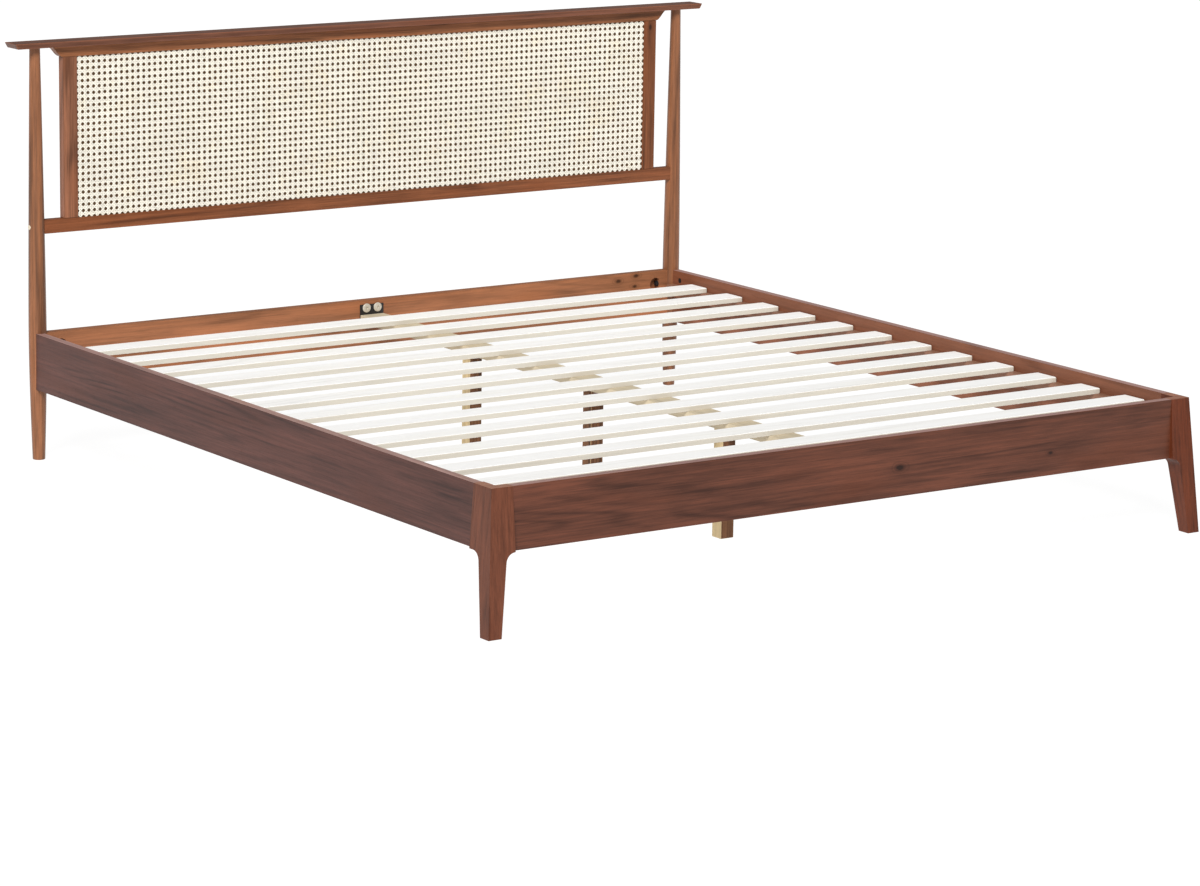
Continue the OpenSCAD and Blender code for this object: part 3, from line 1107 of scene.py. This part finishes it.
@dataclass
class RailFrame:
    """Side rails, head rail, foot rail, ledgers and foot legs.

    Attributes:
        ease: Width of the rails' eased edges.
        leg_ease: Width of the legs' eased edges.
        ledger_ease: Width of the ledgers' eased edges.
        top_band: Depth below a leg's top that is painted lighter, as painted light.
    """

    ease: float = 1.8 * MM
    leg_ease: float = 2.2 * MM
    ledger_ease: float = 1.2 * MM
    top_band: float = 3 * MM

    def rails(self) -> None:
        """Eases the four rails, paints the side rails' outer faces darker as painted shade, and paints
        the eased edges, inner faces and tops lighter as painted highlight and painted light.
        """
        for side in ("left", "right"):
            node = f"{side}_side_rail"
            rail = board_from(node, f"{node}_eased", self.ease)
            self.split_lit_faces(rail, Vector((1 if side == "left" else -1, 0, 0)))
            # Outer faces darkened as painted shade, eased edges lighter as painted highlight, inner
            # faces and tops lighter as painted light.
            PAINT.dress(rail, SIDE_SHADED_WOOD, SIDE_SHADED_WOOD.painted_light_copy(1.5), SIDE_INNER_LIT_WOOD, SIDE_TOP_LIT_WOOD)
            place_piece(rail, "side_rail_wood", node)
        foot = board_from("foot_rail", "foot_rail_eased", self.ease)
        self.split_lit_faces(foot, Vector((0, 1, 0)))
        # Eased edges lighter as painted highlight; inner face and top lighter as painted light.
        PAINT.dress(foot, FOOT_WOOD, FOOT_WOOD.painted_light_copy(1.9), FOOT_WOOD.painted_light_copy(1.4), FOOT_TOP_LIT_WOOD)
        place_piece(foot, "foot_rail_wood", "foot_rail")
        # Lighter copy on the eased edges: painted highlight.
        ease_node("head_rail", "head_rail_wood", self.ease, HEAD_RAIL_WOOD, HEAD_RAIL_WOOD.painted_light_copy(1.1))

    @staticmethod
    def split_lit_faces(rail: Piece, inward: Vector) -> None:
        """Puts a rail's inner face on the third material slot and its top on the fourth, where lighter
        copies of the wood paint light on them.

        Args:
            rail: The rail.
            inward: Way that its inner face points.
        """
        add_slots(rail, 2)
        for face in rail.data.polygons:
            if face.material_index == 0 and face.normal.dot(inward) > ALONG:
                face.material_index = 2
            elif face.material_index == 0 and face.normal.z > ALONG:
                face.material_index = 3

    def paint_lit_top(self, leg: Piece) -> None:
        """Puts a leg's top face and the edges round it on the third material slot, for a lighter copy
        of the wood as painted light.

        Args:
            leg: The leg.
        """
        add_slots(leg, 1)
        top = max(corner[2] for corner in leg.bound_box)
        for face in leg.data.polygons:
            if face.center.z > top - self.top_band:
                face.material_index = 2

    def ledgers(self) -> None:
        """Eases the two strips that carry the slats."""
        for node in ("left_ledger", "right_ledger"):
            # Darker copy on the eased edges: painted shade.
            ease_node(node, "ledger_wood", self.ledger_ease, LEDGER_WOOD, LEDGER_WOOD.painted_light_copy(0.9))

    def legs(self) -> None:
        """Eases the two splayed legs."""
        for node, wood in (("left_foot_leg", LEG_WOOD), ("right_foot_leg", RIGHT_LEG_WOOD)):
            leg = board_from(node, f"{node}_eased", self.leg_ease, segments=4)
            self.paint_lit_top(leg)
            # Darker copy on the eased edges as painted shade, and a lighter top as painted light.
            PAINT.dress(leg, wood, wood.painted_light_copy(0.6), LEG_TOP_LIT_WOOD)
            place_piece(leg, "leg_wood", node)

    def hardware(self) -> None:
        """Rounds the pocket bolts and barrel nuts, and dresses the hidden studs."""
        ease_node("head_rail_bolts", "black_steel", 0.5 * MM, BLACK_STEEL, segments=2)
        ease_node("barrel_nuts", "black_steel", 0.6 * MM, BLACK_STEEL, segments=2, corner=40)
        PAINT.dress(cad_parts["side_rail_bolts"], ZINC_STEEL)

    def build(self) -> None:
        """Makes the rails, ledgers, legs and their bolts."""
        self.rails()
        self.ledgers()
        self.legs()
        self.hardware()


@dataclass
class SlatBed:
    """The twelve slats.

    Attributes:
        count: Number of slats.
        corner_r: Radius of a slat's corners seen from above.
        top_ease: Width of the rounding round the top.
        under_ease: Width of the rounding underneath.
    """

    count: int = 12
    corner_r: float = 5 * MM
    top_ease: float = 3 * MM
    under_ease: float = 1 * MM

    def first(self) -> Piece:
        """Models the slat nearest the head.

        Returns:
            The slat, its sides and ends on the second material slot for a darker copy of the wood, as
            painted shade.
        """
        low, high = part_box("slat_01")
        slat = block("slat_01_eased", low, high)
        add_slots(slat, 2)
        with picked(slat, Element.EDGE, lambda _at, way: abs(way.z) > ALONG):
            bpy.ops.mesh.bevel(offset=self.corner_r, segments=5, affect="EDGES")
        with picked(slat, Element.EDGE, lambda at, way: at.z > high.z - MERGE and abs(way.z) < ACROSS):
            bpy.ops.mesh.bevel(offset=self.top_ease, segments=4, affect="EDGES")
        with picked(slat, Element.EDGE, lambda at, way: at.z < low.z + MERGE and abs(way.z) < ACROSS):
            bpy.ops.mesh.bevel(offset=self.under_ease, segments=2, affect="EDGES")
        for face in slat.data.polygons:
            # Sides and ends take a darker copy of the wood: painted shade.
            face.material_index = 0 if abs(face.normal.z) > 0.6 else 1
        rounded_shading(slat)
        return slat

    def build(self) -> None:
        """Makes every slat from the first one."""
        slat = self.first()
        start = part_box("slat_01")[0]
        pieces = [slat]
        for number in range(2, self.count + 1):
            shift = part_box(f"slat_{number:02d}")[0] - start
            pieces.append(copy_of(slat, f"slat_{number:02d}_eased", shift))
        for number, piece in enumerate(pieces, 1):
            PAINT.dress(piece, SLAT_WOOD, SLAT_SHADED_SIDE)
            place_piece(piece, "slat_wood", f"slat_{number:02d}")


@dataclass
class CentreSupport:
    """The beam under the slats, its brackets and bolts, and its three legs.

    Attributes:
        ease: Width of the wood's eased edges.
        washer_r: Radius of a bolt's domed washer.
        socket_r: Radius of a bolt's hexagon socket, across its corners.
        head_back: Distance from a bolt's front to the bracket under it.
        front: Distance from a bracket's free end to the bolts' fronts.
    """

    ease: float = 1.5 * MM
    washer_r: float = 12 * MM
    socket_r: float = 4 * MM
    head_back: float = 4 * MM
    front: float = 33 * MM

    def timber(self) -> None:
        """Eases the beam and the legs."""
        # Slightly darker copy on the eased edges: painted shade.
        ease_node("centre_beam", "pale_wood", self.ease, BEAM_WOOD, BEAM_WOOD.painted_light_copy(0.95))
        for node in ("centre_leg_head", "centre_leg_middle", "centre_leg_foot"):
            leg = board_from(node, f"{node}_eased", self.ease)
            add_slots(leg, 1)
            for face in leg.data.polygons:
                across = node == "centre_leg_middle" and abs(face.normal.x) > ALONG
                if across or abs(face.normal.y) > ALONG:
                    face.material_index = 2
            # Slightly darker copy on the eased edges: painted shade.
            PAINT.dress(leg, CENTRE_LEG_WOOD, CENTRE_LEG_WOOD.painted_light_copy(0.95), LAMINATED_WOOD)
            place_piece(leg, "centre_leg_wood", node)

    def brackets(self) -> None:
        """Rounds the two steel angles."""
        for node in ("head_bracket", "foot_bracket"):
            ease_node(node, "black_steel", 0.7 * MM, BLACK_STEEL, segments=2)

    def bolt(self, middle: Vector, outward: int) -> Piece:
        """One bolt: a domed washer head with a hexagon socket.

        Args:
            middle: Middle of the head's front face.
            outward: 1 if the head faces +Y, and -1 if it faces -Y.

        Returns:
            The bolt's head.
        """
        way = Vector((0, outward, 0))
        head = rod("bolt_head", middle - way * self.head_back, middle - way * 1.6 * MM,
                   self.washer_r, 40)
        add_slots(head, 2)
        with picked(head, Element.FACE, lambda _at, face: face.y * outward > ALONG):
            bpy.ops.mesh.inset(thickness=1.2 * MM)
            bpy.ops.transform.translate(value=way * 0.9 * MM)
            bpy.ops.mesh.inset(thickness=4 * MM)
            bpy.ops.transform.translate(value=way * 0.7 * MM)
        for face in head.data.polygons:
            face.material_index = 0
        socket = rod("socket", middle - way * 3 * MM, middle + way * 1 * MM, self.socket_r, 6)
        add_slots(socket, 2)
        for face in socket.data.polygons:
            face.material_index = 1
        cut(head, socket)
        rounded_shading(head)
        return head

    def bolts(self) -> None:
        """The four bolts of the two brackets."""
        low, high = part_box("bracket_bolts")
        reach = high.x - self.washer_r
        level = (low.z + high.z) / 2
        head_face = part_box("head_bracket")[0].y + self.front
        foot_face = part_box("foot_bracket")[1].y - self.front
        heads = [self.bolt(Vector((side * reach, face, level)), way)
                 for face, way in ((head_face, -1), (foot_face, 1)) for side in (-1, 1)]
        piece = joined("bracket_bolts_domed", heads)
        PAINT.dress(piece, PALE_STEEL, SOCKET_STEEL)
        place_piece(piece, "pale_steel", "bracket_bolts")

    def build(self) -> None:
        """Makes the centre support."""
        self.timber()
        self.brackets()
        self.bolts()


@dataclass
class Studio:
    """Floor, light and camera.

    Attributes:
        eye: Place of the camera.
        yaw: Camera's turn to the right of +Y, in radians.
        pitch: Camera's tilt downwards.
        roll: Camera's roll.
        lens: Focal length for a 36 mm frame, in millimetres.
        shift: Sideways lens shift.
        dome: Brightness of the white surroundings.
        sun: Strength of the soft key light.
        sun_from: Where the key light comes from.
        sun_spread: Its spread, in degrees.
        glow: How brightly the floor glows.
    """

    eye: tuple[float, float, float] = (-6.0762, -8.7752, 2.3697)
    yaw: float = 0.6050
    pitch: float = 0.2069
    roll: float = 0.0156
    lens: float = 132.15
    shift: float = 0.0074
    dome: float = 0.20
    sun: float = 3.8
    sun_from: tuple[float, float, float] = (-3.2, -3.7, 4.2)
    sun_spread: float = 22
    glow: float = 0.94

    def camera(self) -> None:
        """Places the camera."""
        data = bpy.data.cameras.new("camera")
        data.sensor_width = 36
        data.lens = self.lens
        data.shift_x = self.shift
        data.clip_start, data.clip_end = 0.1, 200
        eye = bpy.data.objects.new("camera", data)
        bpy.context.collection.objects.link(eye)
        look = Vector((math.sin(self.yaw) * math.cos(self.pitch),
                       math.cos(self.yaw) * math.cos(self.pitch), -math.sin(self.pitch)))
        right = Vector((math.cos(self.yaw), -math.sin(self.yaw), 0))
        up = right.cross(look)
        turned_right = math.cos(self.roll) * right + math.sin(self.roll) * up
        turned_up = math.cos(self.roll) * up - math.sin(self.roll) * right
        basis = Matrix((turned_right, turned_up, -look)).transposed().to_4x4()
        eye.matrix_world = Matrix.Translation(self.eye) @ basis
        bpy.context.scene.camera = eye

    def floor(self) -> None:
        """Lays a plain pale floor."""
        bpy.ops.object.select_all(action="DESELECT")
        bpy.ops.mesh.primitive_plane_add(size=160, location=(0, 0, -0.2 * MM))
        floor = bpy.context.object
        floor.name = "studio_floor"
        graph = Graph("studio_floor")
        grey = graph.noise(graph.place(), 3.0, 2)
        colour = graph.mix(grey * 0.04, (0.10, 0.10, 0.10), (0.09, 0.09, 0.09))
        material = graph.finish(colour, 0.7, grey, 0.01 * MM, Emission_Color=(1, 1, 1, 1),
                                Emission_Strength=self.glow)
        floor.data.materials.append(material)

    def lights(self) -> None:
        """Sets the soft surroundings and the key light."""
        world = bpy.data.worlds.new("studio_white")
        world.use_nodes = True
        tree = world.node_tree
        tree.nodes["Background"].inputs[0].default_value = (1, 1, 1, 1)
        seen = tree.nodes.new("ShaderNodeLightPath")
        level = tree.nodes.new("ShaderNodeMapRange")
        level.inputs["To Min"].default_value = self.dome
        tree.links.new(seen.outputs["Is Camera Ray"], level.inputs["Value"])
        tree.links.new(level.outputs[0], tree.nodes["Background"].inputs[1])
        bpy.context.scene.world = world
        data = bpy.data.lights.new("key", "SUN")
        data.energy = self.sun
        data.angle = math.radians(self.sun_spread)
        light = bpy.data.objects.new("key", data)
        bpy.context.collection.objects.link(light)
        light.location = self.sun_from
        light.rotation_euler = (-Vector(self.sun_from)).to_track_quat("-Z", "Y").to_euler()
        settings = bpy.context.scene.view_settings
        settings.view_transform = "Standard"
        settings.look = "None"

    def build(self) -> None:
        """Sets up the studio."""
        self.camera()
        self.floor()
        self.lights()


def main() -> None:
    """Builds the bed frame in order and reports each piece."""
    logging.basicConfig(level=logging.INFO, format="%(name)s %(message)s")
    Studio().build()
    Headboard().build()
    CaneWeave().build()
    RailFrame().build()
    SlatBed().build()
    CentreSupport().build()


if __name__ == "__main__":
    main()
